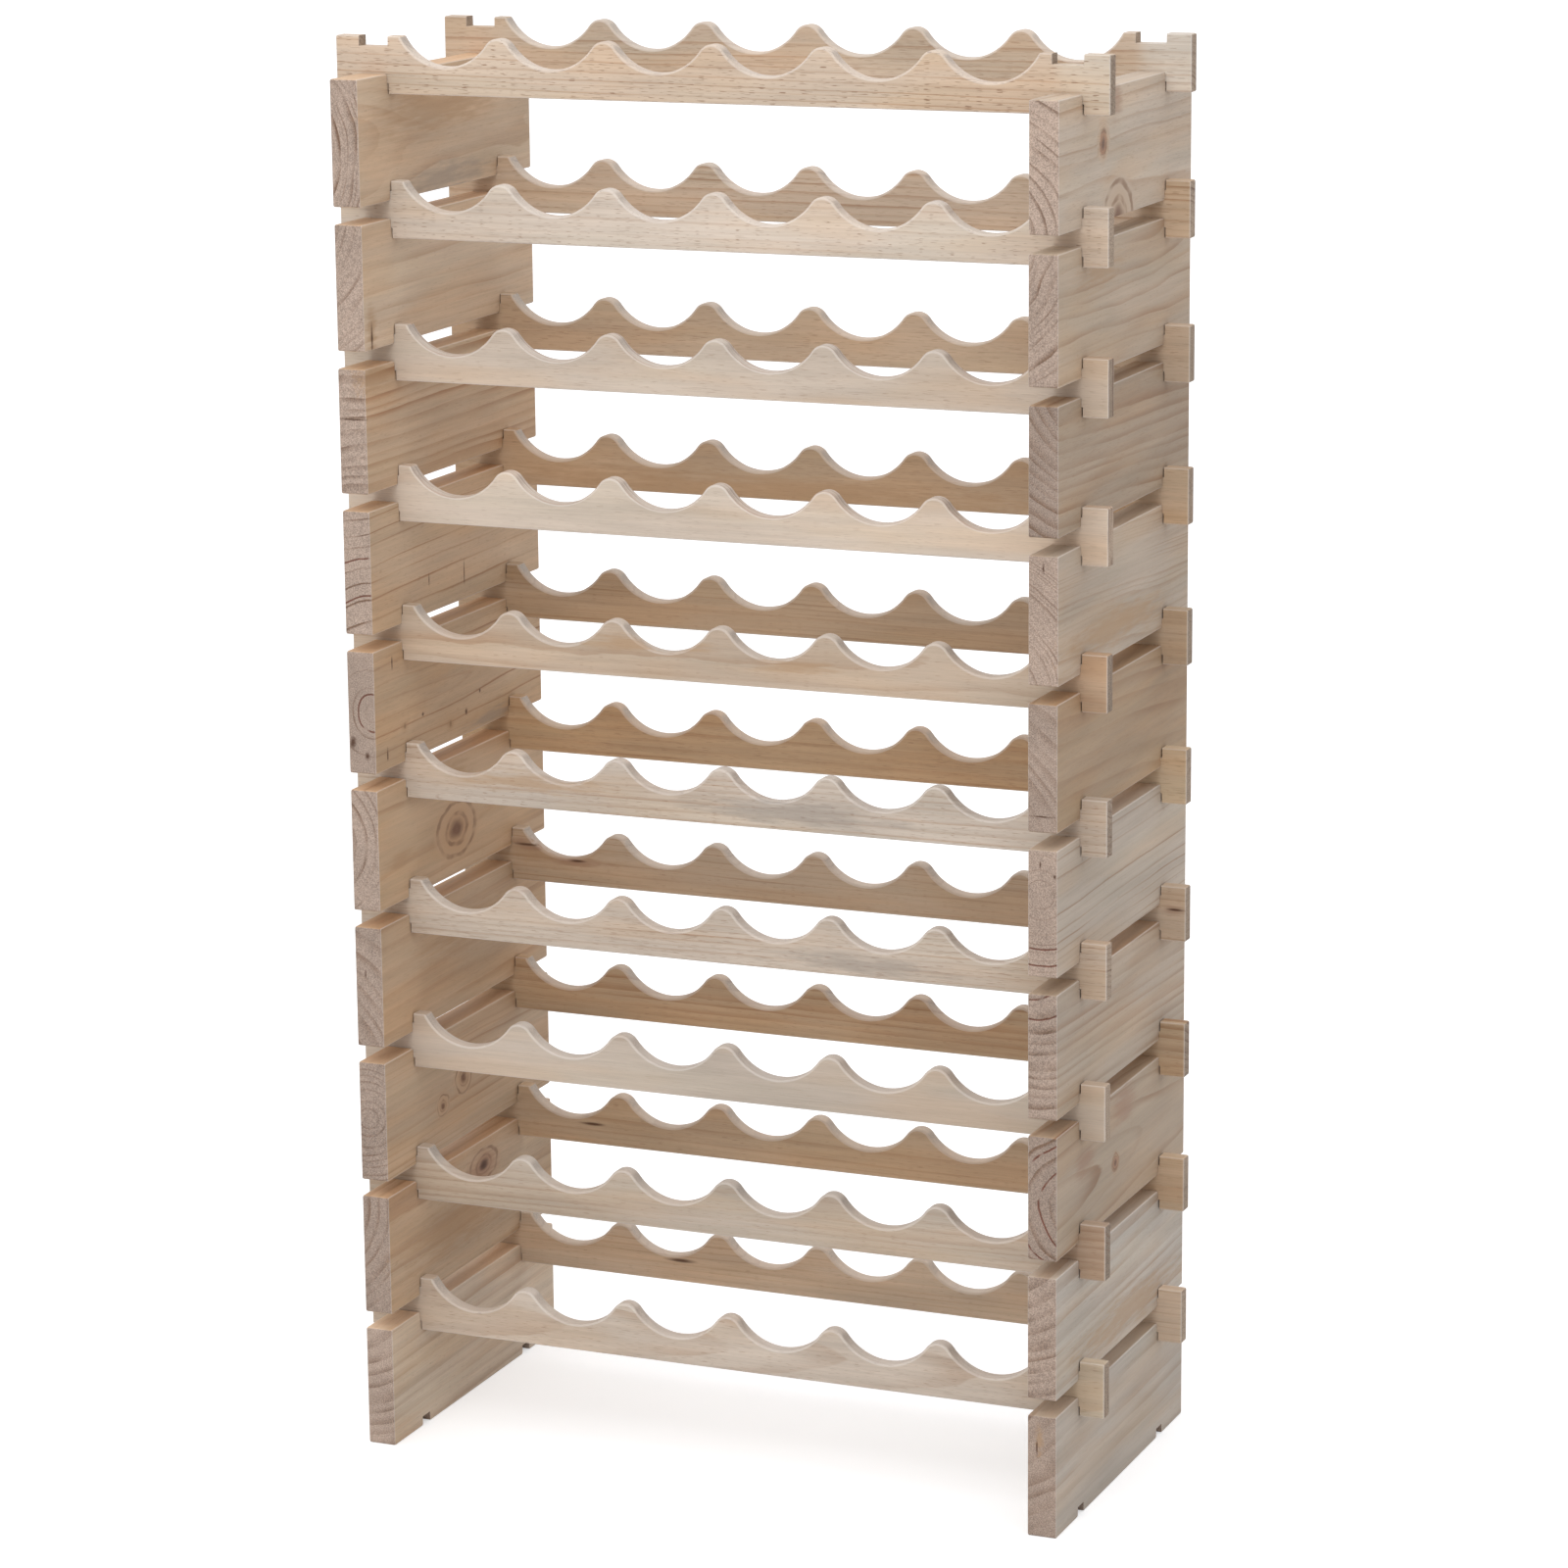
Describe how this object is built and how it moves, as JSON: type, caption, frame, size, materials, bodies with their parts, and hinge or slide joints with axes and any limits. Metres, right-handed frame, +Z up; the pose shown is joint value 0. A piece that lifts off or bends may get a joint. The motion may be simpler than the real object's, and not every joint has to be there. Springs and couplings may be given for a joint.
{
  "type": "wine rack",
  "caption": "Tall free-standing pine wine rack: notched side boards and scalloped rails stacked crosswise without fasteners, every layer lifting off the one below.",
  "frame": {"origin": "on the floor, under the middle of the rack", "axes": "+Z up, +Y from the front to the back along the bottles, +X to the right as seen from the front"},
  "size_m": [0.615, 0.295, 1.095],
  "materials": {
    "side_board_pine": "planed bare pine, matt",
    "rail_pine": "planed bare pine, matt, pale"
  },
  "bodies": {
    "side_boards_01": {"side_board_left_01": "side_board_pine", "side_board_right_01": "side_board_pine"},
    "rails_01": {"rail_front_01": "rail_pine", "rail_back_01": "rail_pine"},
    "side_boards_02": {"side_board_left_02": "side_board_pine", "side_board_right_02": "side_board_pine"},
    "rails_02": {"rail_front_02": "rail_pine", "rail_back_02": "rail_pine"},
    "side_boards_03": {"side_board_left_03": "side_board_pine", "side_board_right_03": "side_board_pine"},
    "rails_03": {"rail_front_03": "rail_pine", "rail_back_03": "rail_pine"},
    "side_boards_04": {"side_board_left_04": "side_board_pine", "side_board_right_04": "side_board_pine"},
    "rails_04": {"rail_front_04": "rail_pine", "rail_back_04": "rail_pine"},
    "side_boards_05": {"side_board_left_05": "side_board_pine", "side_board_right_05": "side_board_pine"},
    "rails_05": {"rail_front_05": "rail_pine", "rail_back_05": "rail_pine"},
    "side_boards_06": {"side_board_left_06": "side_board_pine", "side_board_right_06": "side_board_pine"},
    "rails_06": {"rail_front_06": "rail_pine", "rail_back_06": "rail_pine"},
    "side_boards_07": {"side_board_left_07": "side_board_pine", "side_board_right_07": "side_board_pine"},
    "rails_07": {"rail_front_07": "rail_pine", "rail_back_07": "rail_pine"},
    "side_boards_08": {"side_board_left_08": "side_board_pine", "side_board_right_08": "side_board_pine"},
    "rails_08": {"rail_front_08": "rail_pine", "rail_back_08": "rail_pine"},
    "side_boards_09": {"side_board_left_09": "side_board_pine", "side_board_right_09": "side_board_pine"},
    "rails_09": {"rail_front_09": "rail_pine", "rail_back_09": "rail_pine"},
    "side_boards_10": {"side_board_left_10": "side_board_pine", "side_board_right_10": "side_board_pine"},
    "rail_front_10": {"rail_front_10": "rail_pine"},
    "rail_back_10": {"rail_back_10": "rail_pine"}
  },
  "joints": [
    {"name": "lift_rails_01", "type": "slide", "parent": "side_boards_01", "child": "rails_01", "axis": [0, 0, 1], "range_m": [0, 0.04]},
    {"name": "lift_side_boards_02", "type": "slide", "parent": "rails_01", "child": "side_boards_02", "axis": [0, 0, 1], "range_m": [0, 0.04]},
    {"name": "lift_rails_02", "type": "slide", "parent": "side_boards_02", "child": "rails_02", "axis": [0, 0, 1], "range_m": [0, 0.04]},
    {"name": "lift_side_boards_03", "type": "slide", "parent": "rails_02", "child": "side_boards_03", "axis": [0, 0, 1], "range_m": [0, 0.04]},
    {"name": "lift_rails_03", "type": "slide", "parent": "side_boards_03", "child": "rails_03", "axis": [0, 0, 1], "range_m": [0, 0.04]},
    {"name": "lift_side_boards_04", "type": "slide", "parent": "rails_03", "child": "side_boards_04", "axis": [0, 0, 1], "range_m": [0, 0.04]},
    {"name": "lift_rails_04", "type": "slide", "parent": "side_boards_04", "child": "rails_04", "axis": [0, 0, 1], "range_m": [0, 0.04]},
    {"name": "lift_side_boards_05", "type": "slide", "parent": "rails_04", "child": "side_boards_05", "axis": [0, 0, 1], "range_m": [0, 0.04]},
    {"name": "lift_rails_05", "type": "slide", "parent": "side_boards_05", "child": "rails_05", "axis": [0, 0, 1], "range_m": [0, 0.04]},
    {"name": "lift_side_boards_06", "type": "slide", "parent": "rails_05", "child": "side_boards_06", "axis": [0, 0, 1], "range_m": [0, 0.04]},
    {"name": "lift_rails_06", "type": "slide", "parent": "side_boards_06", "child": "rails_06", "axis": [0, 0, 1], "range_m": [0, 0.04]},
    {"name": "lift_side_boards_07", "type": "slide", "parent": "rails_06", "child": "side_boards_07", "axis": [0, 0, 1], "range_m": [0, 0.04]},
    {"name": "lift_rails_07", "type": "slide", "parent": "side_boards_07", "child": "rails_07", "axis": [0, 0, 1], "range_m": [0, 0.04]},
    {"name": "lift_side_boards_08", "type": "slide", "parent": "rails_07", "child": "side_boards_08", "axis": [0, 0, 1], "range_m": [0, 0.04]},
    {"name": "lift_rails_08", "type": "slide", "parent": "side_boards_08", "child": "rails_08", "axis": [0, 0, 1], "range_m": [0, 0.04]},
    {"name": "lift_side_boards_09", "type": "slide", "parent": "rails_08", "child": "side_boards_09", "axis": [0, 0, 1], "range_m": [0, 0.04]},
    {"name": "lift_rails_09", "type": "slide", "parent": "side_boards_09", "child": "rails_09", "axis": [0, 0, 1], "range_m": [0, 0.04]},
    {"name": "lift_side_boards_10", "type": "slide", "parent": "rails_09", "child": "side_boards_10", "axis": [0, 0, 1], "range_m": [0, 0.04]},
    {"name": "lift_rail_front_10", "type": "slide", "parent": "side_boards_10", "child": "rail_front_10", "axis": [0, 0, 1], "range_m": [0, 0.04]},
    {"name": "lift_rail_back_10", "type": "slide", "parent": "side_boards_10", "child": "rail_back_10", "axis": [0, 0, 1], "range_m": [0, 0.04]}
  ]
}
